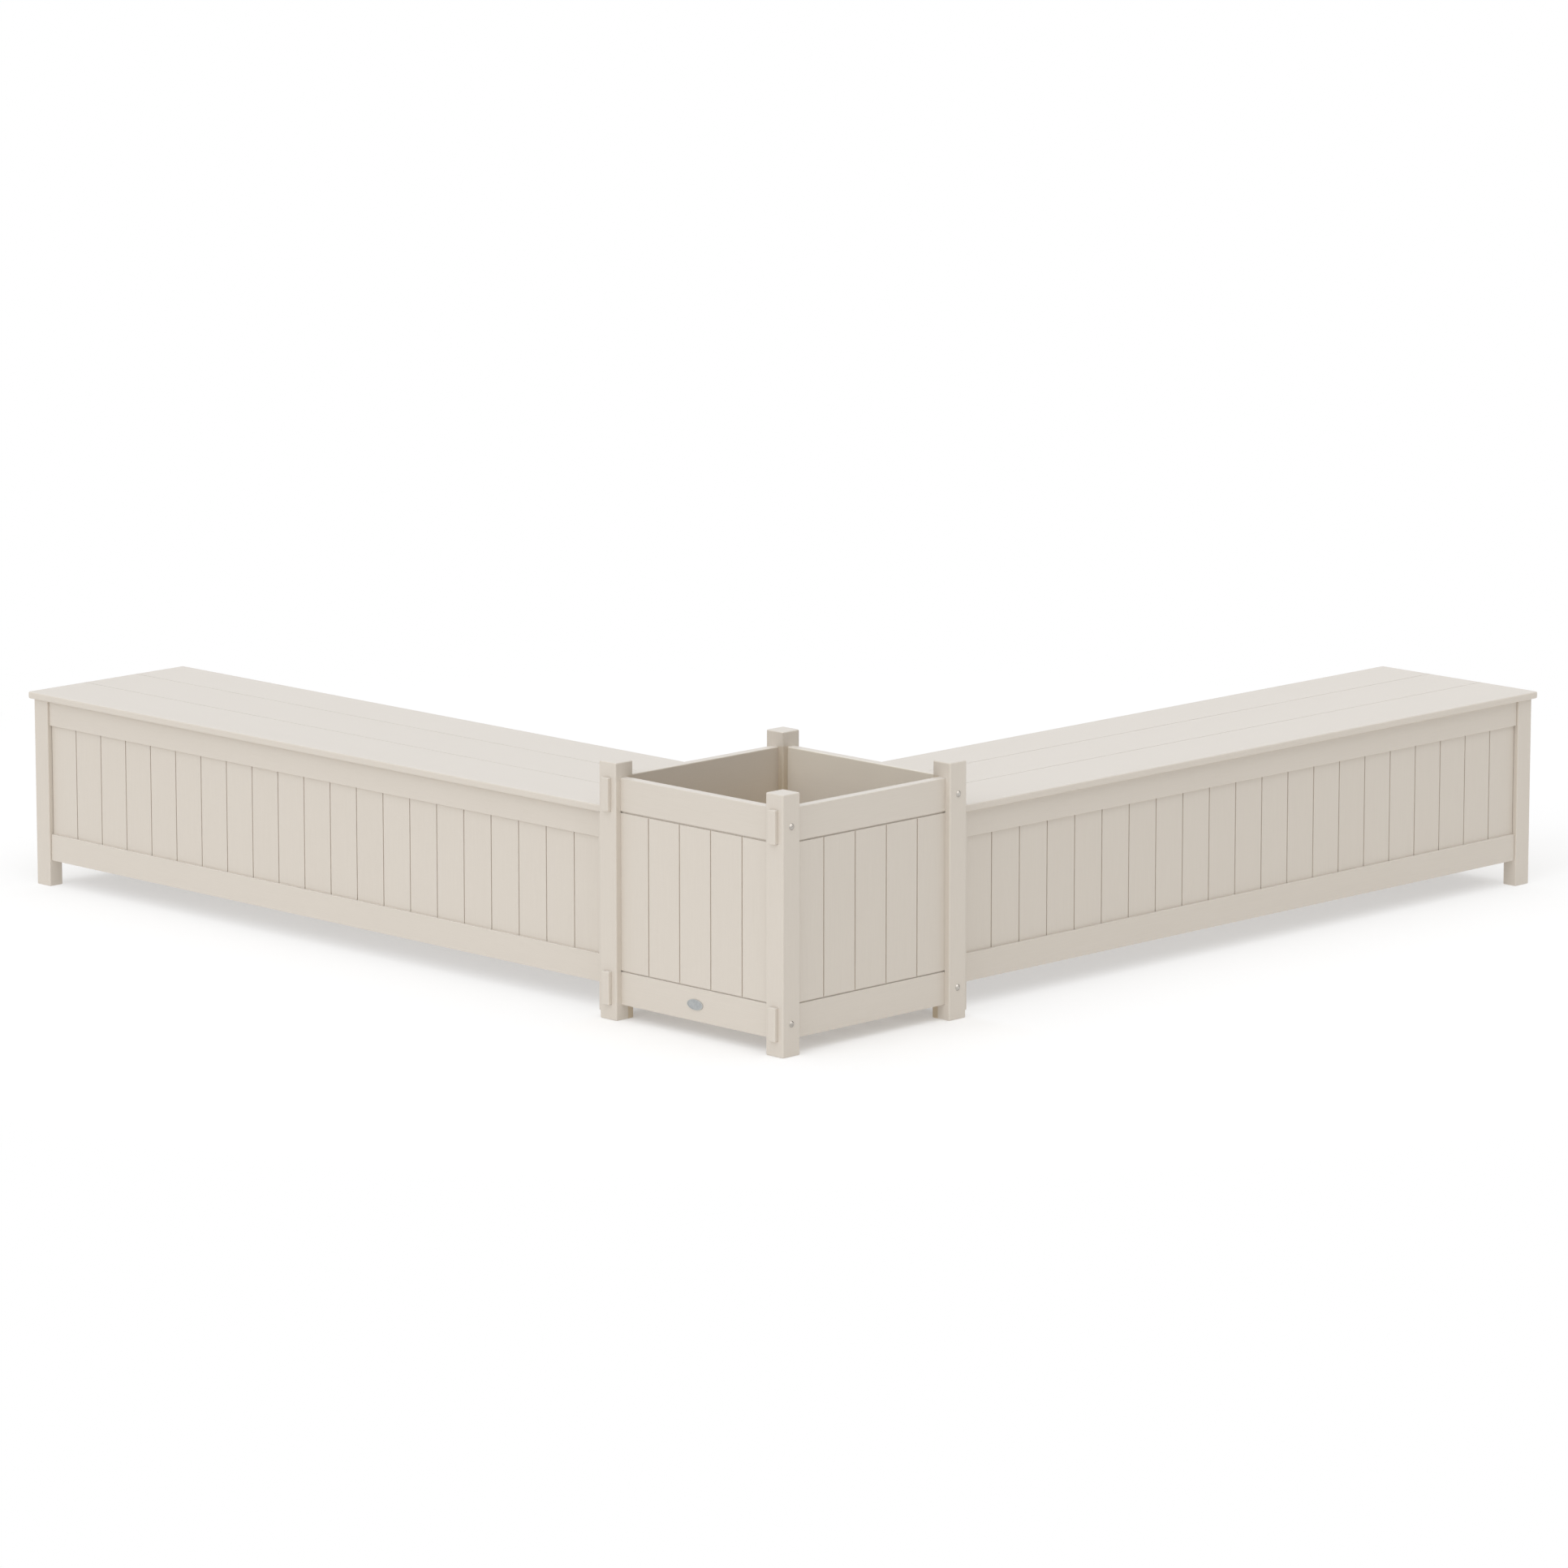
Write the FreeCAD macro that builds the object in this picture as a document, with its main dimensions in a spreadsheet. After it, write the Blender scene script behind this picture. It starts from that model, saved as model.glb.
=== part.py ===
import FreeCAD, Part
import os
import re

import Sketcher

# Corner bench with planter: a square planter with a slatted bench on two of its sides.
# The origin is the centre of the outer corner post's foot, +Z is up, one bench runs along +X
# and the other along +Y. All lengths are in millimetres.

sizes = {
    # planter posts and rails
    "planterWidth": 559,
    "planterHeight": 567,
    "postWidth": 51.5,
    "postRounding": 3.2,
    "railThickness": 22,
    "railHeight": 73.5,
    "railRounding": 2.5,
    "topRailDrop": 34,
    "bottomRailLift": 34,
    "tenonProud": 9.6,
    # planter slats
    "slatsPerSide": 5,
    "slatHousing": 9.2,
    "slatJoint": 0.2,
    "slatGroove": 3.2,
    "slatGrooveDepth": 2.8,
    "shadowGap": 3,
    "shadowGapDepth": 4,
    "tongueThickness": 9,
    "tongueLength": 9,
    # planter floor
    "floorBoardCount": 5,
    "floorBoardThickness": 19,
    "floorBoardGap": 8,
    "bearerHeight": 40,
    "bearerThickness": 22,
    # bench legs and rails
    "legAlong": 47.3,
    "legAcross": 37.5,
    "legRounding": 2.5,
    "benchRailThickness": 22,
    "benchRailRounding": 1.6,
    "benchRailSetback": 5.3,
    "benchTopRailHeight": 59,
    "benchBottomRailHeight": 62.3,
    "benchBottomRailLift": 61.2,
    "stubLength": 16,
    "stubThickness": 10,
    "stubShoulder": 9,
    # bench slats
    "longSlatCount": 21,
    "endSlatCount": 4,
    "benchSlatThickness": 11,
    "benchSlatSetback": 6.8,
    "benchSlatJoint": 0.2,
    "benchSlatGroove": 2.8,
    "benchSlatGrooveDepth": 3,
    "benchSlatHousing": 10,
    # seat
    "seatLength": 1970,
    "seatHeight": 457.5,
    "seatThickness": 17,
    "seatOverhang": 10,
    "seatFrontBoard": 169,
    "seatBackBoard": 148.5,
    "seatGap": 1.3,
    "seatRounding": 4.5,
    "battenCount": 4,
    "battenWidth": 60,
    "battenThickness": 20,
    "battenInset": 190,
    # fasteners and badge
    "boltDiameter": 8,
    "boltHeadDiameter": 14,
    "boltHeadHeight": 4.2,
    "boltBite": 45,
    "screwDiameter": 5,
    "screwHeadDiameter": 10,
    "screwHeadHeight": 3,
    "screwBite": 12,
    "tieRodDiameter": 8,
    "tieCollarDiameter": 20,
    "tieNutDiameter": 14,
    "tieNutHeight": 6,
    "tieBite": 16,
    "tieSpacing": 220,
    "badgeLength": 48,
    "badgeHeight": 24,
    "badgeThickness": 1.6,
    "badgeRim": 2,
    "badgeRecess": 0.5,
    # clearances
    "fitGap": 0.1,
    "holeGap": 0.1,
    "floorGap": 1.5,
}

# lengths that follow from the driving sizes
derived = {
    "postSpacing": "planterWidth - postWidth",
    "planterClear": "planterWidth - 2 * postWidth",
    "planterMid": "postSpacing / 2",
    "topRailFoot": "planterHeight - topRailDrop - railHeight",
    "bottomRailHead": "bottomRailLift + railHeight",
    "slatFieldWidth": "planterClear + 2 * slatHousing",
    "slatPitch": "slatFieldWidth / slatsPerSide",
    "slatFieldHeight": "topRailFoot - bottomRailHead",
    "cavityWidth": "postSpacing - railThickness",
    "boltHole": "boltDiameter + 2 * holeGap",
    "screwHole": "screwDiameter + 2 * holeGap",
    "tieHole": "tieRodDiameter + 2 * holeGap",
    "frameLength": "seatLength - 2 * seatOverhang",
    "frameDepth": "planterClear",
    "seatFoot": "seatHeight - seatThickness",
    "seatDepth": "frameDepth + 2 * seatOverhang",
    "seatMiddleBoard": "seatDepth - seatFrontBoard - seatBackBoard - 2 * seatGap",
    "longRailLength": "frameLength - 2 * legAlong",
    "endRailLength": "frameDepth - 2 * legAcross",
    "benchTopRailFoot": "seatFoot - benchTopRailHeight",
    "benchBottomRailHead": "benchBottomRailLift + benchBottomRailHeight",
    "benchMid": "postSpacing + postWidth / 2 + seatLength / 2",
    "railInset": "benchRailSetback + benchRailThickness / 2",
    "slatOffset": "benchSlatSetback + benchSlatThickness / 2 - benchRailThickness / 2",
    "battenSpacing": "(seatLength - 2 * battenInset) / (battenCount - 1)",
    "battenLength": "frameDepth - 2 * benchRailSetback - 2 * benchRailThickness - 2 * fitGap",
    "tieReach": "postWidth / 2 - railThickness / 2 + seatOverhang + benchRailSetback",
    "tieHeight": "(benchBottomRailLift + bottomRailHead) / 2",
}

doc = FreeCAD.newDocument("CornerBenchWithPlanter")
vector = FreeCAD.Vector
parts = []


def writeSheet():
    sheet = doc.addObject("Spreadsheet::Sheet", "Sizes")
    for row, (name, value) in enumerate(sizes.items(), start=1):
        sheet.set(f"A{row}", name)
        sheet.set(f"B{row}", str(value))
        sheet.setAlias(f"B{row}", name)
    doc.recompute()


# a formula in the names above, written out with sheet cells only
def formula(text):
    def spell(match):
        word = match.group(0)
        if word in derived:
            return "(" + formula(derived[word]) + ")"
        return "Sizes." + word if word in sizes else word
    return re.sub(r"[A-Za-z]\w*", spell, text)


def newBody(label):
    body = doc.addObject("PartDesign::Body", label)
    body.Label = label
    body.AllowCompound = True
    return body


def place(piece, x, y, z, yaw=0):
    piece.Placement.Rotation = FreeCAD.Rotation(vector(0, 0, 1), yaw)
    for axis, text in (("x", x), ("y", y), ("z", z)):
        piece.setExpression(f"Placement.Base.{axis}", formula(text))


def originFeature(body, role):
    return next(item for item in body.Origin.OriginFeatures if item.Role == role)


# a sketch on one of the body's own planes, moved by x, y in the plane and by lift along its normal
def newSketch(body, role, lift="0", x="0", y="0"):
    sketch = body.newObject("Sketcher::SketchObject", "Sketch")
    sketch.AttachmentSupport = [(originFeature(body, role), "")]
    sketch.MapMode = "FlatFace"
    for axis, text in (("x", x), ("y", y), ("z", lift)):
        sketch.setExpression(f"AttachmentOffset.Base.{axis}", formula(text))
    return sketch


def dimension(sketch, name, kind, places, text):
    index = sketch.addConstraint(Sketcher.Constraint(kind, *places, 1.0))
    sketch.renameConstraint(index, name)
    sketch.setExpression("Constraints." + name, formula(text))


def rectangle(sketch, left, low, wide, high):
    first = sketch.GeometryCount
    corners = [vector(0, 0, 0), vector(10, 0, 0), vector(10, 10, 0), vector(0, 10, 0)]
    for step in range(4):
        sketch.addGeometry(Part.LineSegment(corners[step], corners[(step + 1) % 4]), False)
    for step in range(4):
        following = first + (step + 1) % 4
        sketch.addConstraint(Sketcher.Constraint("Coincident", first + step, 2, following, 1))
        kind = "Horizontal" if step % 2 == 0 else "Vertical"
        sketch.addConstraint(Sketcher.Constraint(kind, first + step))
    dimension(sketch, f"left{first}", "DistanceX", (-1, 1, first, 1), left)
    dimension(sketch, f"low{first}", "DistanceY", (-1, 1, first, 1), low)
    dimension(sketch, f"wide{first}", "DistanceX", (first, 1, first, 2), wide)
    dimension(sketch, f"high{first}", "DistanceY", (first + 1, 1, first + 1, 2), high)


def centredRectangle(sketch, wide, high, x="0", y="0"):
    rectangle(sketch, f"{x} - ({wide}) / 2", f"{y} - ({high}) / 2", wide, high)


def circle(sketch, x, y, diameter):
    first = sketch.GeometryCount
    sketch.addGeometry(Part.Circle(vector(5, 5, 0), vector(0, 0, 1), 2), False)
    dimension(sketch, f"across{first}", "Diameter", (first,), diameter)
    dimension(sketch, f"x{first}", "DistanceX", (-1, 1, first, 3), x)
    dimension(sketch, f"y{first}", "DistanceY", (-1, 1, first, 3), y)


def pad(body, sketch, length, bothWays=False):
    feature = body.newObject("PartDesign::Pad", "Pad")
    feature.Profile = sketch
    feature.SideType = "Symmetric" if bothWays else "One side"
    feature.setExpression("Length", formula(length))
    body.Tip = feature
    return feature


def pocket(body, sketch, depth, bothWays=False, backwards=False):
    doc.recompute()
    before = body.Shape.Volume
    feature = body.newObject("PartDesign::Pocket", "Pocket")
    feature.Profile = sketch
    feature.SideType = "Symmetric" if bothWays else "One side"
    feature.Reversed = backwards
    feature.setExpression("Length", formula(depth))
    body.Tip = feature
    doc.recompute()
    if body.Shape.Volume >= before:
        raise RuntimeError(f"a pocket of {body.Label} cuts nothing")
    return feature


def roundAll(body, feature, radius):
    doc.recompute()
    rounding = body.newObject("PartDesign::Fillet", "Rounding")
    rounding.Base = (feature, [""])
    rounding.UseAllEdges = True
    rounding.setExpression("Radius", formula(radius))
    body.Tip = rounding
    return rounding


def repeat(body, features, axis, spacing, count):
    row = body.newObject("PartDesign::LinearPattern", "Row")
    row.Originals = features
    row.Direction = (originFeature(body, axis), [""])
    row.Mode = "Spacing"
    row.setExpression("Offset", formula(spacing))
    row.setExpression("Occurrences", formula(count))
    body.Tip = row
    return row


# a board along X with every edge rounded, centred on X and on y and standing on Z = 0
def board(body, length, thickness, height, radius, y="0"):
    sketch = newSketch(body, "XY_Plane")
    centredRectangle(sketch, length, thickness, "0", y)
    return roundAll(body, pad(body, sketch, height), radius)


# cuts a strip off a board from left on, which leaves that side or end square
def trim(body, role, left, wide, height, length):
    sketch = newSketch(body, role)
    rectangle(sketch, left, f"-({height})", wide, f"3 * {height}")
    pocket(body, sketch, f"2 * {length}", bothWays=True)


# a rectangular recess in one upright face of a square piece: reach is how far the face stands
# from the piece's axis, offset how far the recess lies to the side of it
def recess(body, face, reach, offset, wide, low, high, depth):
    outward = 1 if face[0] == "+" else -1
    if face[1] == "X":
        sketch = newSketch(body, "YZ_Plane", f"{outward} * ({reach})")
        inwards = outward > 0
    else:
        sketch = newSketch(body, "XZ_Plane", f"{-outward} * ({reach})")
        inwards = outward < 0
    rectangle(sketch, f"{offset} - ({wide}) / 2", low, wide, f"({high}) - ({low})")
    pocket(body, sketch, depth, backwards=not inwards)


# a piece turned about its own axis: the profile is a list of radius and station, and the first
# edge of a domed piece is an arc
def turned(body, role, profile, x="0", y="0", lift="0", domed=False):
    sketch = newSketch(body, role, lift, x, y)
    count = len(profile)
    seed = [(0 if radius == "0" else 7 - 0.3 * step, 5 * step - 4.2)
            for step, (radius, station) in enumerate(profile)]
    if domed:
        seed[1] = (7, 0)
        arc = Part.ArcOfCircle(Part.Circle(vector(0, 3.73, 0), vector(0, 0, 1), 7.93), -1.571, -0.489)
        sketch.addGeometry(arc, False)
    for step in range(1 if domed else 0, count):
        start = vector(*seed[step], 0)
        end = vector(*seed[(step + 1) % count], 0)
        sketch.addGeometry(Part.LineSegment(start, end), False)
    for step in range(count):
        sketch.addConstraint(Sketcher.Constraint("Coincident", step, 2, (step + 1) % count, 1))
    if domed:
        sketch.addConstraint(Sketcher.Constraint("PointOnObject", 0, 3, -2))
    for step, (radius, station) in enumerate(profile):
        if radius == "0":
            sketch.addConstraint(Sketcher.Constraint("PointOnObject", step, 1, -2))
        else:
            dimension(sketch, f"radius{step}", "DistanceX", (-1, 1, step, 1), radius)
        dimension(sketch, f"station{step}", "DistanceY", (-1, 1, step, 1), station)
    feature = body.newObject("PartDesign::Revolution", "Turned")
    feature.Profile = sketch
    feature.ReferenceAxis = (sketch, ["V_Axis"])
    feature.Angle = 360
    body.Tip = feature
    return feature


def keep(piece):
    parts.append(piece)
    return piece


# Planter

# each side: the direction that it faces, and its turn about Z
planterSides = {"front": (0, -1, 0), "right": (1, 0, 90), "back": (0, 1, 180), "left": (-1, 0, -90)}


def placeOnSide(piece, side, height):
    faceX, faceY, yaw = planterSides[side]
    place(piece, f"planterMid + {faceX} * postSpacing / 2",
          f"planterMid + {faceY} * postSpacing / 2", height, yaw)


def planterPost(label, sideX, sideY):
    body = newBody(label)
    board(body, "postWidth", "postWidth", "planterHeight", "postRounding")
    sketch = newSketch(body, "YZ_Plane")
    for foot in ("bottomRailLift", "topRailFoot"):
        rectangle(sketch, "-railThickness / 2 - fitGap", f"{foot} - fitGap",
                  "railThickness + 2 * fitGap", "railHeight + 2 * fitGap")
    pocket(body, sketch, "2 * postWidth", bothWays=True)
    sketch = newSketch(body, "XZ_Plane")
    for foot in ("bottomRailLift", "topRailFoot"):
        circle(sketch, "0", f"{foot} + railHeight / 2", "boltHole")
    pocket(body, sketch, "2 * postWidth", bothWays=True)
    for face in (("-X" if sideX > 0 else "+X"), ("-Y" if sideY > 0 else "+Y")):
        recess(body, face, "postWidth / 2", "0", "railThickness + 2 * fitGap",
               "bottomRailHead - tongueLength - fitGap", "topRailFoot + tongueLength + fitGap",
               "slatHousing + fitGap")
    place(body, f"planterMid + {sideX} * postSpacing / 2",
          f"planterMid + {sideY} * postSpacing / 2", "0")
    return keep(body)


# the groove that takes the slats' tongues, in the rail's upper or lower edge
def grooveRail(body, railHeight, length, width, depth, offset, upper):
    sketch = newSketch(body, "XY_Plane", railHeight if upper else "0")
    centredRectangle(sketch, length, width, "0", offset)
    pocket(body, sketch, depth, backwards=not upper)


# fills the rounding of the inner edge that meets the slats, so that the planter is smooth inside
def squareEdge(body, upper):
    sketch = newSketch(body, "YZ_Plane")
    rectangle(sketch, "railThickness / 2 - railRounding", "railHeight - railRounding" if upper else "0",
              "railRounding", "railRounding")
    pad(body, sketch, "planterClear", bothWays=True)


def planterRail(label, side, through, upperGroove):
    body = newBody(label)
    if through:
        board(body, "planterWidth + 2 * tenonProud", "railThickness", "railHeight", "railRounding")
    else:
        board(body, "planterClear + 4 * railRounding", "railThickness", "railHeight", "railRounding")
        for left in ("planterClear / 2", "-planterClear / 2 - 3 * railRounding"):
            trim(body, "XZ_Plane", left, "3 * railRounding", "railHeight", "railThickness")
    squareEdge(body, upperGroove)
    grooveRail(body, "railHeight", "slatFieldWidth + 2 * fitGap" if through else "2 * planterClear",
               "tongueThickness + 2 * fitGap", "tongueLength + fitGap", "0", upperGroove)
    if through:
        sketch = newSketch(body, "XZ_Plane")
        for end in (-1, 1):
            circle(sketch, f"{end} * postSpacing / 2", "railHeight / 2", "boltHole")
        pocket(body, sketch, "2 * railThickness", bothWays=True)
    else:
        for face in ("+X", "-X"):
            boltSocket(body, face)
    if side in ("right", "back") and upperGroove:
        tieSockets(body)
    placeOnSide(body, side, "bottomRailLift" if upperGroove else "topRailFoot")
    return keep(body)


# the hole in a butt rail's end for the bolt that comes through the post
def boltSocket(body, face):
    outward = 1 if face == "+X" else -1
    sketch = newSketch(body, "YZ_Plane", f"{outward} * planterClear / 2")
    circle(sketch, "0", "railHeight / 2", "boltHole")
    pocket(body, sketch, "boltBite + fitGap", backwards=outward < 0)


# holes in the outer face of a bottom rail for the studs that tie a bench to it
def tieSockets(body):
    sketch = newSketch(body, "XZ_Plane", "railThickness / 2")
    for end in (-1, 1):
        circle(sketch, f"{end} * tieSpacing / 2", "tieHeight - bottomRailLift", "tieHole")
    pocket(body, sketch, "tieBite + fitGap")


# tongued slats, flush with the rails inside and out; the outer face has a groove at each joint
# and a deeper one along each rail
def planterSlats(label, side):
    body = newBody(label)
    left = "-slatFieldWidth / 2"
    core = newSketch(body, "XY_Plane")
    rectangle(core, f"{left} + slatJoint / 2", "shadowGapDepth - railThickness / 2",
              "slatPitch - slatJoint", "railThickness - shadowGapDepth")
    corePad = pad(body, core, "slatFieldHeight")
    middle = newSketch(body, "XY_Plane", "shadowGap")
    rectangle(middle, f"{left} + slatJoint / 2", "slatGrooveDepth - railThickness / 2",
              "slatPitch - slatJoint", "shadowGapDepth - slatGrooveDepth")
    middlePad = pad(body, middle, "slatFieldHeight - 2 * shadowGap")
    face = newSketch(body, "XY_Plane", "shadowGap")
    rectangle(face, f"{left} + slatGroove / 2", "-railThickness / 2",
              "slatPitch - slatGroove", "slatGrooveDepth")
    facePad = pad(body, face, "slatFieldHeight - 2 * shadowGap")
    tongue = newSketch(body, "XY_Plane", "-tongueLength")
    rectangle(tongue, f"{left} + slatJoint / 2", "-tongueThickness / 2",
              "slatPitch - slatJoint", "tongueThickness")
    tonguePad = pad(body, tongue, "slatFieldHeight + 2 * tongueLength")
    repeat(body, [corePad, middlePad, facePad, tonguePad], "X_Axis", "slatPitch", "slatsPerSide")
    placeOnSide(body, side, "bottomRailHead")
    return keep(body)


def planterFloor():
    bearers = newBody("planter_floor_bearers")
    sketch = newSketch(bearers, "XY_Plane")
    for end in (-1, 1):
        centredRectangle(sketch, "planterClear - 2 * floorGap", "bearerThickness", "0",
                         f"{end} * (cavityWidth - bearerThickness) / 2")
    pad(bearers, sketch, "bearerHeight")
    place(bearers, "planterMid", "planterMid", "bottomRailLift")
    keep(bearers)
    boards = newBody("planter_floor_boards")
    pitch = "(planterClear - 2 * floorGap + floorBoardGap) / floorBoardCount"
    sketch = newSketch(boards, "XY_Plane")
    rectangle(sketch, "floorGap - planterClear / 2", "floorGap - cavityWidth / 2",
              f"{pitch} - floorBoardGap", "cavityWidth - 2 * floorGap")
    slab = pad(boards, sketch, "floorBoardThickness")
    repeat(boards, [slab], "X_Axis", pitch, "floorBoardCount")
    place(boards, "planterMid", "planterMid", "bottomRailLift + bearerHeight")
    keep(boards)


# dome-head bolts: through a post and its through rail, into the end of a butt rail
def railBolts():
    body = newBody("planter_rail_bolts")
    profile = [("0", "-boltHeadHeight"), ("boltHeadDiameter / 2", "0"), ("boltDiameter / 2", "0"),
               ("boltDiameter / 2", "postWidth + boltBite"), ("0", "postWidth + boltBite")]
    bolt = turned(body, "XY_Plane", profile, "-postSpacing / 2", "-planterWidth / 2",
                  "bottomRailLift + railHeight / 2", domed=True)
    spread = body.newObject("PartDesign::MultiTransform", "Spread")
    steps = []
    for axis, spacing in (("X_Axis", "postSpacing"), ("Z_Axis", "topRailFoot - bottomRailLift")):
        row = body.newObject("PartDesign::LinearPattern", "Row")
        row.Direction = (originFeature(body, axis), [""])
        row.Mode = "Spacing"
        row.setExpression("Offset", formula(spacing))
        row.Occurrences = 2
        steps.append(row)
    mirror = body.newObject("PartDesign::Mirrored", "Mirror")
    mirror.MirrorPlane = (originFeature(body, "XZ_Plane"), [""])
    spread.Originals = [bolt]
    spread.Transformations = steps + [mirror]
    body.Tip = spread
    place(body, "planterMid", "planterMid", "0")
    return keep(body)


def ellipse(name, wide, high, thickness, lift):
    outline = doc.addObject("Part::Ellipse", name + "Outline")
    outline.setExpression("MajorRadius", formula(wide))
    outline.setExpression("MinorRadius", formula(high))
    outline.setExpression("Placement.Base.z", formula(lift))
    solid = doc.addObject("Part::Extrusion", name)
    solid.Base = outline
    solid.Dir = vector(0, 0, 1)
    solid.Solid = True
    solid.setExpression("LengthFwd", formula(thickness))
    return solid


# a bare oval plate with a raised rim, on the middle of the left bottom rail
def badge():
    plate = ellipse("Plate", "badgeLength / 2", "badgeHeight / 2", "badgeThickness", "0")
    hollow = ellipse("Hollow", "badgeLength / 2 - badgeRim", "badgeHeight / 2 - badgeRim",
                     "badgeThickness", "badgeThickness - badgeRecess")
    dish = doc.addObject("Part::Cut", "badge_plate")
    dish.Label = "badge_plate"
    dish.Base = plate
    dish.Tool = hollow
    upright = FreeCAD.Rotation(vector(1, 0, 0), 90)
    dish.Placement.Rotation = FreeCAD.Rotation(vector(0, 0, 1), -90) * upright
    dish.setExpression("Placement.Base.x", formula("-railThickness / 2"))
    dish.setExpression("Placement.Base.y", formula("planterMid"))
    dish.setExpression("Placement.Base.z", formula("bottomRailLift + railHeight / 2"))
    return keep(dish)


def buildPlanter():
    for label, sideX, sideY in (("planter_corner_post", -1, -1), ("planter_right_post", 1, -1),
                                ("planter_left_post", -1, 1), ("planter_back_post", 1, 1)):
        planterPost(label, sideX, sideY)
    for side in planterSides:
        through = side in ("front", "back")
        planterRail(f"planter_{side}_top_rail", side, through, upperGroove=False)
        planterRail(f"planter_{side}_bottom_rail", side, through, upperGroove=True)
        planterSlats(f"planter_{side}_slats", side)
    planterFloor()
    railBolts()
    badge()


# Benches

# a place on a bench is given from its middle: along its length, across it from front to back,
# and up; the left bench is the right one turned a quarter, so its inner end is the other one
def placeOnBench(piece, bench, along, across, up, yaw=0):
    if bench == "right":
        place(piece, f"benchMid + ({along})", f"planterMid + ({across})", up, yaw)
    else:
        place(piece, f"planterMid + ({across})", f"benchMid - ({along})", up, yaw - 90)


def benchLeg(label, bench, sideAlong, sideAcross):
    body = newBody(label)
    board(body, "legAlong", "legAcross", "seatFoot", "legRounding")
    for foot, height in (("benchBottomRailLift", "benchBottomRailHeight"),
                         ("benchTopRailFoot", "benchTopRailHeight")):
        low = f"{foot} + stubShoulder - fitGap"
        high = f"{foot} + {height} - stubShoulder + fitGap"
        wide = "stubThickness + 2 * fitGap"
        recess(body, "-X" if sideAlong > 0 else "+X", "legAlong / 2",
               f"{sideAcross} * (legAcross / 2 - railInset)", wide, low, high, "stubLength + fitGap")
        recess(body, "-Y" if sideAcross > 0 else "+Y", "legAcross / 2",
               f"{sideAlong} * (legAlong / 2 - railInset)", wide, low, high, "stubLength + fitGap")
    placeOnBench(body, bench, f"{sideAlong} * (frameLength - legAlong) / 2",
                 f"{sideAcross} * (frameDepth - legAcross) / 2", "0")
    return keep(body)


# each side of a bench: the direction that it faces, and its turn about Z
benchSides = {"front": (0, -1, 0), "right": (1, 0, 90), "back": (0, 1, 180), "left": (-1, 0, -90)}


def placeOnBenchSide(piece, bench, side, height):
    faceAlong, faceAcross, yaw = benchSides[side]
    placeOnBench(piece, bench, f"{faceAlong} * (frameLength / 2 - railInset)",
                 f"{faceAcross} * (frameDepth / 2 - railInset)", height, yaw)


# a rail with a stub tenon at each end, grooved for slats if it carries any
def benchRail(label, bench, side, top, slatted, tied):
    body = newBody(label)
    length = "longRailLength" if side in ("front", "back") else "endRailLength"
    height = "benchTopRailHeight" if top else "benchBottomRailHeight"
    board(body, length, "benchRailThickness", height, "benchRailRounding")
    sketch = newSketch(body, "YZ_Plane")
    centredRectangle(sketch, "stubThickness", f"{height} - 2 * stubShoulder", "0", f"{height} / 2")
    pad(body, sketch, f"{length} + 2 * stubLength", bothWays=True)
    if slatted:
        grooveRail(body, height, length, "benchSlatThickness + 2 * fitGap",
                   "benchSlatHousing + fitGap", "slatOffset", upper=not top)
    if tied:
        sketch = newSketch(body, "XZ_Plane")
        for end in (-1, 1):
            circle(sketch, f"{end} * tieSpacing / 2", "tieHeight - benchBottomRailLift", "tieHole")
        pocket(body, sketch, "2 * benchRailThickness", bothWays=True)
    placeOnBenchSide(body, bench, side, "benchTopRailFoot" if top else "benchBottomRailLift")
    return keep(body)


# slats held in the rails' grooves against their outer lips, with grooves on the outer face
def benchSlats(label, bench, side):
    body = newBody(label)
    isLong = side in ("front", "back")
    field = "longRailLength" if isLong else "endRailLength"
    count = "longSlatCount" if isLong else "endSlatCount"
    face = "slatOffset - benchSlatThickness / 2 - fitGap"
    layers = []
    for gap, near, depth in (("benchSlatJoint", f"{face} + benchSlatGrooveDepth",
                              "benchSlatThickness - benchSlatGrooveDepth"),
                             ("benchSlatGroove", face, "benchSlatGrooveDepth")):
        sketch = newSketch(body, "XY_Plane")
        rectangle(sketch, f"({gap} - {field}) / 2", near, f"{field} / {count} - {gap}", depth)
        layers.append(pad(body, sketch, "benchTopRailFoot - benchBottomRailHead + 2 * benchSlatHousing"))
    repeat(body, layers, "X_Axis", f"{field} / {count}", count)
    placeOnBenchSide(body, bench, side, "benchBottomRailHead - benchSlatHousing")
    return keep(body)


# the middle of each seat board, across the bench
seatBoards = {
    "front": ("seatFrontBoard", "seatFrontBoard / 2 - seatDepth / 2"),
    "middle": ("seatMiddleBoard", "seatFrontBoard + seatGap + seatMiddleBoard / 2 - seatDepth / 2"),
    "back": ("seatBackBoard", "seatDepth / 2 - seatBackBoard / 2"),
}


# a seat board is rounded on the outside of the seat and square where it meets the next board
def seatBoard(label, bench, position):
    width, across = seatBoards[position]
    body = newBody(label)
    meets = {"front": (1,), "middle": (-1, 1), "back": (-1,)}[position]
    board(body, "seatLength", f"{width} + {2 * len(meets)} * seatRounding", "seatThickness",
          "seatRounding", f"{sum(meets)} * seatRounding")
    for side in meets:
        left = f"{side} * ({width}) / 2" + (" - 3 * seatRounding" if side < 0 else "")
        trim(body, "YZ_Plane", left, "3 * seatRounding", "seatThickness", "seatLength")
    sketch = newSketch(body, "XY_Plane")
    circle(sketch, "battenInset - seatLength / 2", "0", "screwHole")
    hole = pocket(body, sketch, "screwBite + fitGap", backwards=True)
    repeat(body, [hole], "X_Axis", "battenSpacing", "battenCount")
    placeOnBench(body, bench, "0", across, "seatFoot")
    return keep(body)


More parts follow.
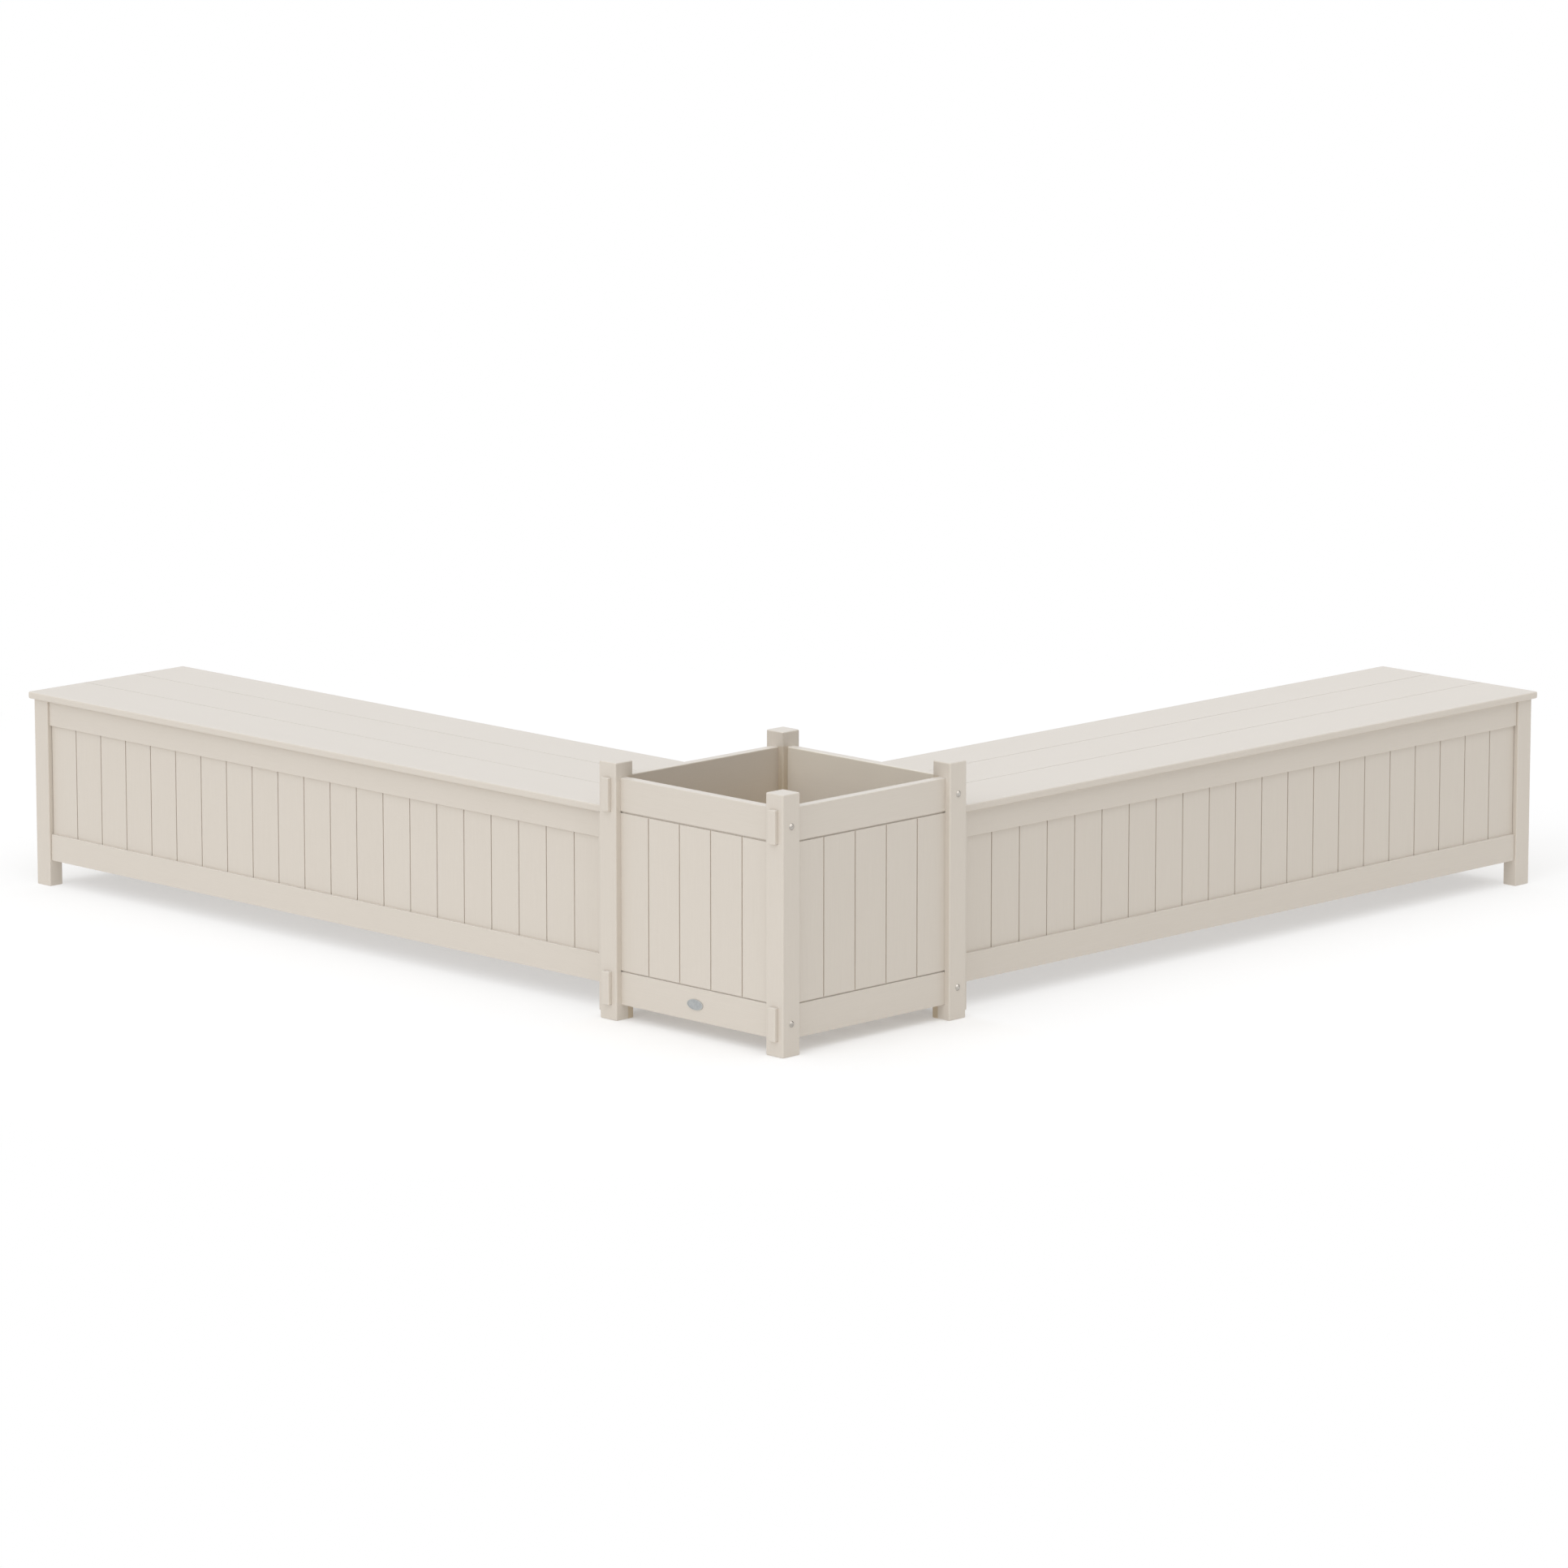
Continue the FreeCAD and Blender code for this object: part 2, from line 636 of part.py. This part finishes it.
# crosswise battens that join the three seat boards from below
def seatBattens(label, bench):
    body = newBody(label)
    sketch = newSketch(body, "XY_Plane")
    first = "battenInset - seatLength / 2"
    centredRectangle(sketch, "battenWidth", "battenLength", first)
    for width, across in seatBoards.values():
        circle(sketch, first, across, "screwHole")
    batten = pad(body, sketch, "battenThickness")
    repeat(body, [batten], "X_Axis", "battenSpacing", "battenCount")
    placeOnBench(body, bench, "0", "0", "seatFoot - battenThickness")
    return keep(body)


def seatScrews(bench):
    body = newBody(f"{bench}SeatScrews")
    profile = [("0", "-screwHeadHeight"), ("screwHeadDiameter / 2", "-screwHeadHeight"),
               ("screwHeadDiameter / 2", "0"), ("screwDiameter / 2", "0"),
               ("screwDiameter / 2", "battenThickness + screwBite"),
               ("0", "battenThickness + screwBite")]
    screws = [turned(body, "XZ_Plane", profile, "battenInset - seatLength / 2", "0",
                     f"-({across})") for width, across in seatBoards.values()]
    repeat(body, screws, "X_Axis", "battenSpacing", "battenCount")
    placeOnBench(body, bench, "0", "0", "seatFoot - battenThickness")
    return body


# studs with a collar that keeps the bench's end rail at its distance from the planter's rail
def tieStuds(bench):
    body = newBody(f"{bench}TieStuds")
    nutFace = "tieReach + benchRailThickness"
    profile = [("0", "-tieBite"), ("tieRodDiameter / 2", "-tieBite"), ("tieRodDiameter / 2", "0"),
               ("tieCollarDiameter / 2", "0"), ("tieCollarDiameter / 2", "tieReach"),
               ("tieRodDiameter / 2", "tieReach"), ("tieRodDiameter / 2", nutFace),
               ("tieNutDiameter / 2", nutFace), ("tieNutDiameter / 2", f"{nutFace} + tieNutHeight"),
               ("0", f"{nutFace} + tieNutHeight")]
    stud = turned(body, "XY_Plane", profile, "-tieSpacing / 2")
    repeat(body, [stud], "X_Axis", "tieSpacing", "2")
    face = "postSpacing + railThickness / 2"
    if bench == "right":
        place(body, face, "planterMid", "tieHeight", -90)
    else:
        place(body, "planterMid", face, "tieHeight", 0)
    return body


def group(label, bodies):
    compound = doc.addObject("Part::Compound", label)
    compound.Label = label
    compound.Links = bodies
    return keep(compound)


def buildBench(bench):
    innerSide, outerSide = ("left", "right") if bench == "right" else ("right", "left")
    inner = -1 if bench == "right" else 1
    for end, sideAlong in (("inner", inner), ("outer", -inner)):
        for position, sideAcross in (("front", -1), ("back", 1)):
            benchLeg(f"{bench}_bench_{end}_{position}_leg", bench, sideAlong, sideAcross)
    for name, side in (("front", "front"), ("back", "back"), ("outer", outerSide), ("inner", innerSide)):
        slatted = name != "inner"
        benchRail(f"{bench}_bench_{name}_top_rail", bench, side, True, slatted, False)
        benchRail(f"{bench}_bench_{name}_bottom_rail", bench, side, False, slatted, not slatted)
        if slatted:
            benchSlats(f"{bench}_bench_{name}_slats", bench, side)
    for position in seatBoards:
        seatBoard(f"{bench}_bench_seat_{position}_board", bench, position)
    seatBattens(f"{bench}_bench_seat_battens", bench)


def checkAndWrite():
    doc.recompute()
    for item in doc.Objects:
        if "Invalid" in item.State or "Error" in item.State:
            raise RuntimeError(f"{item.Label} failed: {item.State}")
    os.makedirs("parts", exist_ok=True)
    for piece in parts:
        shape = piece.Shape
        if shape.isNull() or not shape.isValid() or not shape.Solids:
            raise RuntimeError(f"{piece.Label} has no valid solid")
        shape.exportStep(f"parts/{piece.Label}.step")
        print(f"{piece.Label}: {len(shape.Solids)} solids, {shape.Volume / 1000:.0f} cm3")
    print(f"{len(parts)} sub-parts")


writeSheet()
buildPlanter()
for bench in ("right", "left"):
    buildBench(bench)
group("seat_screws", [seatScrews(bench) for bench in ("right", "left")])
group("bench_tie_studs", [tieStuds(bench) for bench in ("right", "left")])
checkAndWrite()
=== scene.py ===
import math

import bmesh
import bpy
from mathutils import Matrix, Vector


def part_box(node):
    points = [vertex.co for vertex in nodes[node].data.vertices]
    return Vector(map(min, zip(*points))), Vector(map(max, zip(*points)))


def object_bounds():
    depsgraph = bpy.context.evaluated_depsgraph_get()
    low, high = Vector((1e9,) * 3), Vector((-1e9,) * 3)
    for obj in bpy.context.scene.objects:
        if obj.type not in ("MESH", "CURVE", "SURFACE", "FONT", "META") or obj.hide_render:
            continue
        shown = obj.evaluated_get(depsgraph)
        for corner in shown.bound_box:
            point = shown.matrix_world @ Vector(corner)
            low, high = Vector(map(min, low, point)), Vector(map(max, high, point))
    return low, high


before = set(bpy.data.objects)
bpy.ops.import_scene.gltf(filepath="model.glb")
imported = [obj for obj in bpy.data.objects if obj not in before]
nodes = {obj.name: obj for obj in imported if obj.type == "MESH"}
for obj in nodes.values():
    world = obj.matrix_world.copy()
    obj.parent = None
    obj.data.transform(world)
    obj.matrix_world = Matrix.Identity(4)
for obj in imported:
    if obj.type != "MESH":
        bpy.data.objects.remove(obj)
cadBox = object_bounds()
print("frame loaded:", len(nodes), "pieces")


# Camera

# where the photograph was taken from: metres from the planter's middle, degrees
cameraView = {
    "distance": 16.518,
    "height": 3.735,
    "heading": 45,          # the camera looks along the line between the two benches
    "lookDown": 11.032,
    "lens": 179.73,         # millimetres, as is the sensor
    "sensor": 36,
    "shift": 0.0007,        # the object stands a little left of the middle
    "nearest": 0.1,
    "farthest": 300,
}


def middleOf(name):
    low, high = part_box(name)
    return (low + high) / 2


def makeCamera():
    planter = middleOf("planter_floor_boards")
    heading = math.radians(cameraView["heading"])
    data = bpy.data.cameras.new("camera")
    data.lens = cameraView["lens"]
    data.sensor_width = cameraView["sensor"]
    data.shift_x = cameraView["shift"]
    data.clip_start = cameraView["nearest"]
    data.clip_end = cameraView["farthest"]
    camera = bpy.data.objects.new("camera", data)
    camera.location = (planter.x - cameraView["distance"] * math.sin(heading),
                       planter.y - cameraView["distance"] * math.cos(heading),
                       cameraView["height"])
    camera.rotation_euler = (math.radians(90 - cameraView["lookDown"]), 0, -heading)
    bpy.context.scene.collection.objects.link(camera)
    bpy.context.scene.camera = camera
    print("camera placed")


# Shader maths

noiseDetail = 2.0       # octaves of every noise

# a socket that takes part in Python expressions: each operator adds its Math node
class Wire:
    def __init__(self, tree, socket=None):
        self.tree = tree
        self.socket = socket

    # any node: its type, its settings, the values or links of its sockets, and the output to read
    def node(self, kind, settings, sockets, output=0):
        made = self.tree.nodes.new("ShaderNode" + kind)
        for name, value in settings.items():
            if name == "stops":
                self.setStops(made.color_ramp, value)
            else:
                setattr(made, name, value)
        for name, value in sockets.items():
            if isinstance(value, Wire):
                self.tree.links.new(value.socket, made.inputs[name])
            else:
                made.inputs[name].default_value = value
        return Wire(self.tree, made.outputs[output] if made.outputs else None)

    def setStops(self, ramp, stops):
        while len(ramp.elements) < len(stops):
            ramp.elements.new(0.5)
        for element, (place, colour) in zip(ramp.elements, stops):
            element.position = place
            element.color = colour

    # all the outputs of this wire's node
    def outputs(self):
        return [Wire(self.tree, socket) for socket in self.socket.node.outputs]

    def math(self, operation, *values):
        return self.node("Math", {"operation": operation}, dict(enumerate(values)))

    def __add__(self, other):
        return self.math("ADD", self, other)

    def __radd__(self, other):
        return self.math("ADD", other, self)

    def __sub__(self, other):
        return self.math("SUBTRACT", self, other)

    def __rsub__(self, other):
        return self.math("SUBTRACT", other, self)

    def __mul__(self, other):
        return self.math("MULTIPLY", self, other)

    def __rmul__(self, other):
        return self.math("MULTIPLY", other, self)

    def __truediv__(self, other):
        return self.math("DIVIDE", self, other)

    def __abs__(self):
        return self.math("ABSOLUTE", self)

    def floor(self):
        return self.math("FLOOR", self)

    def least(self, other):
        return self.math("MINIMUM", self, other)

    def most(self, other):
        return self.math("MAXIMUM", self, other)

    # 0 up to low, 1 from high on, smooth in between
    def ramp(self, low, high, start=0.0, end=1.0):
        return self.node("MapRange", {"interpolation_type": "SMOOTHSTEP"},
                         {"Value": self, "From Min": low, "From Max": high, "To Min": start, "To Max": end})

    # this value as the share of the second colour
    def mix(self, first, second):
        return self.node("Mix", {"data_type": "RGBA"}, {0: self, 6: first, 7: second}, output=2)


def newMaterial(name):
    material = bpy.data.materials.new(name)
    material.use_nodes = True
    material.node_tree.nodes.clear()
    return material, Wire(material.node_tree)


def finishMaterial(wire, sockets):
    shader = wire.node("BsdfPrincipled", {}, sockets)
    wire.node("OutputMaterial", {}, {"Surface": shader})


# a colour written as the picture shows it, in steps of 0 to 255
def colour(red, green, blue):
    def linear(step):
        share = step / 255
        return share / 12.92 if share <= 0.04045 else ((share + 0.055) / 1.055) ** 2.4
    return (linear(red), linear(green), linear(blue), 1)


# Lumber

# sand-coloured plastic lumber with a fine brushed grain: lengths in metres, tones as shares
lumber = {
    "body": colour(212, 203, 191),
    "pale": colour(224, 217, 205),
    "deep": colour(199, 189, 173),
    "paintedTopLight": (1.0, 1.03, 1.08, 1),   # painted light: a cooler, paler tint on the faces that look up, where the light from above falls
    "fibreWidth": 0.0007,
    "fibreLength": 0.06,
    "fibreTone": 0.30,
    "streakWidth": 0.006,
    "streakLength": 0.35,
    "streakTone": 0.06,
    "cloudSize": 0.18,
    "cloudTone": 0.06,
    "boardTone": 0.04,        # from one board to the next
    "pitSize": 0.0024,
    "pitTone": 0.25,
    "pitRim": (0.06, 0.20),   # where a pit's slope starts and ends, as shares of its size
    "edgeWidth": 0.003,
    "edgeTone": 0.10,
    "wearPatches": (0.3, 0.7),   # the cloud's tones where an edge's wear is slightest and where it is full
    "leastWear": 0.4,
    "facingUp": (0.5, 0.9),   # how far up a face looks where the painted top light starts and where it is full
    "roughness": 0.45,
    "fibreRoughness": 0.12,
    "streakRoughness": 0.10,
    "edgeRoughness": 0.05,
    "refraction": 1.6,
    "relief": 0.00008,
    "fibreRelief": 0.6,       # shares of the relief
    "streakRelief": 0.5,
    "pitRelief": 0.6,
    "patternStep": (3.1, 1.7, 2.3),   # how far the pattern moves from one piece to the next
    "boardStep": 17.3,
}

# painted shade and painted light on the planter's inner faces: the colour, its share at the rim and its share
# at full depth
innerShadeAndLight = {
    "paintedShade": (colour(187, 165, 127), 0.08, 0.28),
    "paintedShadeOnPosts": (colour(187, 165, 127), 0.30, 0.60),
    # painted light on the inner face that looks towards the key lamp
    "sun": (colour(232, 224, 209), 0.56, 0.10),
    "fullDepth": 0.14,            # metres below the rim
    "rimFade": 0.004,             # metres over which the marks start there
    "wallFade": (0.001, 0.004),   # metres behind the inner faces where they end
    "patchiness": 0.6,
}

# the boards of a row: how many, and the gap between two of them
rows = {
    "planterSlats": (5, 0.0002),
    "longSlats": (21, 0.0002),
    "endSlats": (4, 0.0002),
    "floorBoards": (5, 0.008),
}


# which way a piece's grain runs and, where it is a row of boards, the row's axis, count and gap
def layOf(name):
    low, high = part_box(name)
    size = high - low
    longest = max(range(3), key=lambda axis: size[axis])
    across = 1 if size.x > size.y else 0
    if name.endswith("_slats"):
        kind = "endSlats" if "outer" in name else "longSlats"
        if name.startswith("planter"):
            kind = "planterSlats"
        return 2, 1 - across, rows[kind]
    if name.endswith("floor_boards"):
        return 1, 0, rows["floorBoards"]
    if name.endswith("battens"):
        return across, None, None
    return longest, None, None


# painted shade on the planter's inner faces, browner and darker further down and heavier on the posts, and
# painted light on the inner face that looks towards the key lamp, strongest at the rim
def paintInnerShadeAndLight(wire, name, place, cloud, paint):
    kind = "sun" if name.startswith("planter_right") else "paintedShade"
    if name.endswith("post"):
        kind = "paintedShadeOnPosts"
    paintedColour, atRim, below = innerShadeAndLight[kind]
    middle = middleOf("planter_floor_boards")
    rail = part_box("planter_right_top_rail")
    wall = rail[0].x - middle.x
    start, end = innerShadeAndLight["wallFade"]
    outward = abs(place[0] - middle.x).most(abs(place[1] - middle.y))
    inside = 1 - outward.ramp(wall + start, wall + end)
    depth = rail[1].z - place[2]
    share = depth.ramp(0.0, innerShadeAndLight["fullDepth"], atRim, below) * depth.ramp(-innerShadeAndLight["rimFade"], 0.0)
    return (inside * share * (1 + innerShadeAndLight["patchiness"] * cloud)).mix(paint, paintedColour)


def lumberMaterial(name, seed):
    material, wire = newMaterial(name + "_lumber")
    low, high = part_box(name)
    grain, row, rowSizes = layOf(name)
    point = wire.node("TexCoord", {}, {}, output=3)
    place = wire.node("SeparateXYZ", {}, {"Vector": point}).outputs()

    # how deep the point lies under each pair of the board's faces
    depths = []
    board = 0
    for axis in range(3):
        if axis == row:
            count, gap = rowSizes
            pitch = (high[axis] - low[axis] + gap) / count
            board = ((place[axis] - low[axis]) / pitch).floor()
            depths.append((pitch - gap) / 2 - abs(place[axis] - low[axis] + gap / 2 - (board + 0.5) * pitch))
        else:
            depths.append((high[axis] - low[axis]) / 2 - abs(place[axis] - (low[axis] + high[axis]) / 2))
    first, second, third = depths
    fromEdge = first.least(second).most(first.most(second).least(third))

    def noise(width, length, shift):
        stretch = [1 / width] * 3
        stretch[grain] = 1 / length
        moved = [seed * step for step in lumber["patternStep"]]
        moved[0] += shift
        vector = wire.node("Mapping", {}, {"Vector": point, "Scale": stretch, "Location": moved})
        return wire.node("TexNoise", {}, {"Vector": vector, "Scale": 1.0, "Detail": noiseDetail}) - 0.5

    fibre = noise(lumber["fibreWidth"], lumber["fibreLength"], 0)
    streak = noise(lumber["streakWidth"], lumber["streakLength"], 5)
    cloud = noise(lumber["cloudSize"], lumber["cloudSize"], 9)
    cell = wire.node("TexVoronoi", {}, {"Vector": point, "Scale": 1 / lumber["pitSize"]})
    pit = 1 - cell.ramp(*lumber["pitRim"])
    boardSeed = board + seed * lumber["boardStep"]
    stray = wire.node("TexWhiteNoise", {"noise_dimensions": "1D"}, {"W": boardSeed}) - 0.5
    wear = (cloud + 0.5).ramp(*lumber["wearPatches"], lumber["leastWear"], 1.0)
    edge = (1 - fromEdge.ramp(0.0, lumber["edgeWidth"])) * wear

    tone = (0.5 + lumber["fibreTone"] * fibre + lumber["streakTone"] * streak + lumber["cloudTone"] * cloud
            + lumber["boardTone"] * stray + lumber["edgeTone"] * edge - lumber["pitTone"] * pit)
    stops = [(0, lumber["deep"]), (0.5, lumber["body"]), (1, lumber["pale"])]
    paint = wire.node("ValToRGB", {"stops": stops}, {"Fac": tone})
    # painted shade and painted light on the planter's inner faces
    if name.startswith("planter") and name.endswith(("rail", "slats", "post")):
        paint = paintInnerShadeAndLight(wire, name, place, cloud, paint)
    # painted light: faces that look up get the cooler, paler tint
    facing = wire.node("SeparateXYZ", {}, {"Vector": wire.node("NewGeometry", {}, {}, output=1)}).outputs()
    paintedTopShare = facing[2].ramp(*lumber["facingUp"])
    paint = wire.node("Mix", {"data_type": "RGBA", "blend_type": "MULTIPLY"},
                      {0: paintedTopShare, 6: paint, 7: lumber["paintedTopLight"]}, output=2)
    height = lumber["fibreRelief"] * fibre + lumber["streakRelief"] * streak - lumber["pitRelief"] * pit
    bump = wire.node("Bump", {}, {"Height": height, "Distance": lumber["relief"]})
    rough = (lumber["roughness"] + lumber["fibreRoughness"] * fibre + lumber["streakRoughness"] * streak
             - lumber["edgeRoughness"] * edge)
    finishMaterial(wire, {"Base Color": paint, "Roughness": rough, "Normal": bump, "IOR": lumber["refraction"]})
    return material


# Metal

# colours, and in metres the size of the scratches across and along their direction
metals = {
    # the stainless rim colour is the painted shade at the edges of the bolt heads
    "stainless": {"light": colour(194, 190, 183), "dark": colour(160, 154, 147), "rim": colour(66, 60, 52),
                  "roughness": 0.20, "scratchWidth": 0.0005, "scratchLength": 0.0015},
    "zinc": {"light": colour(186, 189, 190), "dark": colour(150, 153, 156), "rim": colour(150, 153, 156),
             "roughness": 0.38, "scratchWidth": 0.0010, "scratchLength": 0.0020},
    "aluminium": {"light": colour(181, 184, 185), "dark": colour(166, 169, 171), "rim": colour(190, 190, 187),
                  "roughness": 0.32, "scratchWidth": 0.0003, "scratchLength": 0.0120},
}

# what all the metals share
metalBrush = {
    "cloudSize": 1 / 140,
    "cloudShare": 0.6,        # of the tone; the scratches have the rest
    "darkest": 0.35,          # the noise that gives the dark colour, and the light one
    "lightest": 0.65,
    "scratchDepth": 0.00002,
    "scratchStrength": 0.6,
    "scratchRoughness": 0.12,
}

# metres behind a bolt head's crown where the painted shade starts and is full, and how much deeper the right
# side counts
boltPaintedShade = {"fade": (0.0026, 0.0044), "lean": 0.6}

# where the badge's rim starts and is full: squares of the way from the middle to the edge
badgeRim = (0.72, 0.86)


# brushed metal; rimOf turns the point into the share of the rim's colour
def metalMaterial(name, kind, rimOf=None):
    look = metals[kind]
    material, wire = newMaterial(name + "_" + kind)
    point = wire.node("TexCoord", {}, {}, output=3)
    stretch = (1 / look["scratchWidth"], 1 / look["scratchLength"], 1 / look["scratchWidth"])
    brushed = wire.node("Mapping", {}, {"Vector": point, "Scale": stretch})
    scratch = wire.node("TexNoise", {}, {"Vector": brushed, "Scale": 1.0, "Detail": noiseDetail})
    cloud = wire.node("TexNoise", {}, {"Vector": point, "Scale": 1 / metalBrush["cloudSize"],
                                       "Detail": noiseDetail})
    share = metalBrush["cloudShare"]
    tone = (share * cloud + (1 - share) * scratch).ramp(metalBrush["darkest"], metalBrush["lightest"])
    paint = tone.mix(look["dark"], look["light"])
    if rimOf:
        rim = rimOf(wire.node("SeparateXYZ", {}, {"Vector": point}).outputs())
        paint = rim.mix(paint, look["rim"])
    bump = wire.node("Bump", {}, {"Height": scratch, "Distance": metalBrush["scratchDepth"],
                                  "Strength": metalBrush["scratchStrength"]})
    rough = look["roughness"] + metalBrush["scratchRoughness"] * scratch
    finishMaterial(wire, {"Base Color": paint, "Roughness": rough, "Metallic": 1.0, "Normal": bump})
    return material


# painted shade round the edge of each dome head, heaviest on its right side
def boltMaterial(name):
    low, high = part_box(name)
    middle = middleOf(name)
    boltColumn = middle.x - middleOf("planter_corner_post").x

    def rimOf(place):
        fromMiddle = place[0] - middle.x
        aside = fromMiddle - fromMiddle.math("SIGN", fromMiddle) * boltColumn
        depth = (place[1] - low.y).least(high.y - place[1])
        return (depth + boltPaintedShade["lean"] * aside).ramp(*boltPaintedShade["fade"])
    return metalMaterial(name, "stainless", rimOf)


# the badge's raised rim is a little paler than its field
def badgeMaterial(name):
    low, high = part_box(name)

    def rimOf(place):
        across = (place[1] - (low.y + high.y) / 2) / ((high.y - low.y) / 2)
        upward = (place[2] - (low.z + high.z) / 2) / ((high.z - low.z) / 2)
        return (across * across + upward * upward).ramp(*badgeRim)
    return metalMaterial(name, "aluminium", rimOf)


# Dressing of the frame's pieces

def dress():
    for seed, name in enumerate(sorted(nodes)):
        if name == "planter_rail_bolts":
            finish = boltMaterial(name)
        elif name == "badge_plate":
            finish = badgeMaterial(name)
        elif name in ("seat_screws", "bench_tie_studs"):
            finish = metalMaterial(name, "zinc")
        else:
            finish = lumberMaterial(name, seed)
        piece = nodes[name]
        piece.data.materials.clear()
        piece.data.materials.append(finish)
    print("pieces dressed:", len(nodes))


# Stage

stage = {
    "floorHalf": 150,
    "floorColour": (1, 1, 1, 1),
    # how far the floor's shadows are lifted towards white in the picture
    "shadow": {"underPlanter": 0.22, "underBench": 0.48, "beforeBench": 0.62},
    # and how far it glows white for all other rays: painted light that stands in for the light the floor throws
    # back
    "glow": {"underPlanter": 0.36, "underBench": 0.59},
    # metres from the planter's faces where one lift passes into the next: in front of them and beside them
    "benchFade": (-0.16, -0.05),
    "planterFade": (0.10, 0.40),
    "sideFade": (-0.03, 0.05),
    # metres from the object's middle where the floor turns white
    "farFade": (2.1, 3.0),
}


def makeFloor():
    shape = bmesh.new()
    bmesh.ops.create_grid(shape, x_segments=1, y_segments=1, size=stage["floorHalf"])
    mesh = bpy.data.meshes.new("floor")
    shape.to_mesh(mesh)
    shape.free()
    floor = bpy.data.objects.new("floor", mesh)
    bpy.context.scene.collection.objects.link(floor)
    material, wire = newMaterial("floor_white")
    seen = wire.node("LightPath", {}, {}, output="Is Camera Ray")
    lit = wire.node("BsdfDiffuse", {}, {"Color": stage["floorColour"]})
    white = wire.node("Emission", {}, {"Color": (1, 1, 1, 1), "Strength": 1.0})
    point = wire.node("TexCoord", {}, {}, output=3)
    place = wire.node("SeparateXYZ", {}, {"Vector": point}).outputs()
    beside = place[0].most(place[1]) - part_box("planter_back_post")[1].x
    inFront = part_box("planter_corner_post")[0].x - place[0].least(place[1])
    # 0 under the planter, 1 away from it
    clear = beside.ramp(*stage["sideFade"]).most(inFront.ramp(*stage["planterFade"]))
    shadow, glow = stage["shadow"], stage["glow"]
    atBench = inFront.ramp(*stage["benchFade"], shadow["underBench"], shadow["beforeBench"])
    lift = clear.ramp(0, 1, shadow["underPlanter"], atBench)
    # painted light: the share of white glow the floor gives to all rays but the camera's
    glowShare = clear.ramp(0, 1, glow["underPlanter"], glow["underBench"])
    middle = (cadBox[0] + cadBox[1]) / 2
    fromMiddle = wire.node("VectorMath", {"operation": "DISTANCE"},
                           {0: point, 1: (middle.x, middle.y, 0)}, output=1)
    lift = lift.most(fromMiddle.ramp(*stage["farFade"]))
    surface = wire.node("MixShader", {}, {0: seen * lift + (1 - seen) * glowShare, 1: lit, 2: white})
    wire.node("OutputMaterial", {}, {"Surface": surface})
    mesh.materials.append(material)
    print("floor laid")


# lamps: strength, the compass side and height that each comes from in degrees, and its width as an angle;
# side 0 faces the right bench's front and 90 the left one's
light = {
    "sky": 0.31,
    "skyTint": (1, 1, 1, 1),
    "lamps": {
        "key": {"strength": 0.58, "side": 90, "height": 25, "angle": 40, "tint": (0.98, 1.01, 1.06)},
        "overhead": {"strength": 1.43, "side": 0, "height": 90, "angle": 95, "tint": (1, 1, 1)},
        "fill": {"strength": 0.73, "side": 45, "height": 50, "angle": 90, "tint": (1, 1, 1)},
    },
}


def makeLight():
    world = bpy.data.worlds.new("studio")
    world.use_nodes = True
    world.node_tree.nodes.clear()
    wire = Wire(world.node_tree)
    seen = wire.node("LightPath", {}, {}, output="Is Camera Ray")
    mirrored = wire.node("LightPath", {}, {}, output="Is Glossy Ray")
    lighting = wire.node("Background", {}, {"Color": light["skyTint"], "Strength": light["sky"]})
    backdrop = wire.node("Background", {}, {"Color": (1, 1, 1, 1), "Strength": 1.0})
    surface = wire.node("MixShader", {}, {0: seen.most(mirrored), 1: lighting, 2: backdrop})
    wire.node("OutputWorld", {}, {"Surface": surface})
    bpy.context.scene.world = world
    for name, lamp in light["lamps"].items():
        data = bpy.data.lights.new(name, "SUN")
        data.energy = lamp["strength"]
        data.color = lamp["tint"]
        data.angle = math.radians(lamp["angle"])
        sun = bpy.data.objects.new(name, data)
        sun.visible_glossy = name != "key"      # so low a lamp would glare on the seats from the far side
        side = math.radians(lamp["side"])
        height = math.radians(lamp["height"])
        source = Vector((-math.sin(side) * math.cos(height),
                         -math.cos(side) * math.cos(height),
                         math.sin(height)))
        sun.rotation_mode = "QUATERNION"
        sun.rotation_quaternion = source.to_track_quat("Z", "Y")
        bpy.context.scene.collection.objects.link(sun)
    print("lamps placed")


makeCamera()
makeFloor()
makeLight()
dress()
bpy.context.scene.view_settings.view_transform = "Standard"
